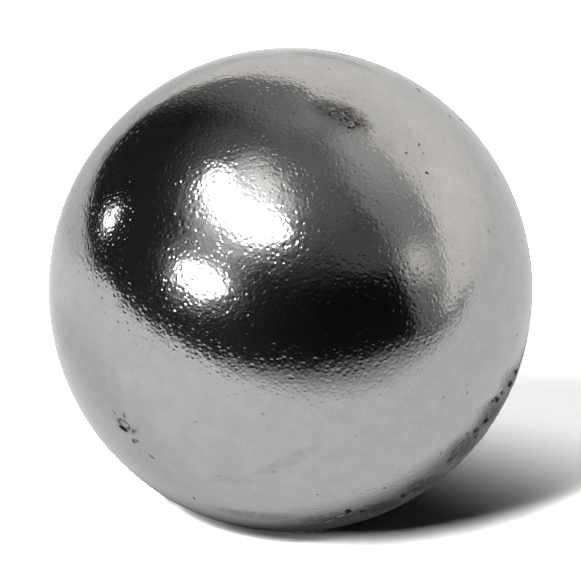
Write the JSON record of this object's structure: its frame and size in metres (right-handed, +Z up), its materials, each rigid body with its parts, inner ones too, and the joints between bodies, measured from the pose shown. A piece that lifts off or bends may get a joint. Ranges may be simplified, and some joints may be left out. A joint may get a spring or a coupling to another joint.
{
  "type": "sphere magnet",
  "caption": "Solid ball magnet with bright nickel plating of a fine orange-peel grain, one small dent, a pitted patch and chips in the plating.",
  "frame": {"origin": "centre of the ball", "axes": "+Z up through the upper contact point, -Y towards the side with the dent"},
  "size_m": [0.0126, 0.0126, 0.0126],
  "materials": {
    "nickel_plating": "bright nickel plating with a fine orange-peel grain, darkened in its chips and pits"
  },
  "bodies": {
    "root": {"magnet_ball": "nickel_plating"}
  },
  "joints": []
}
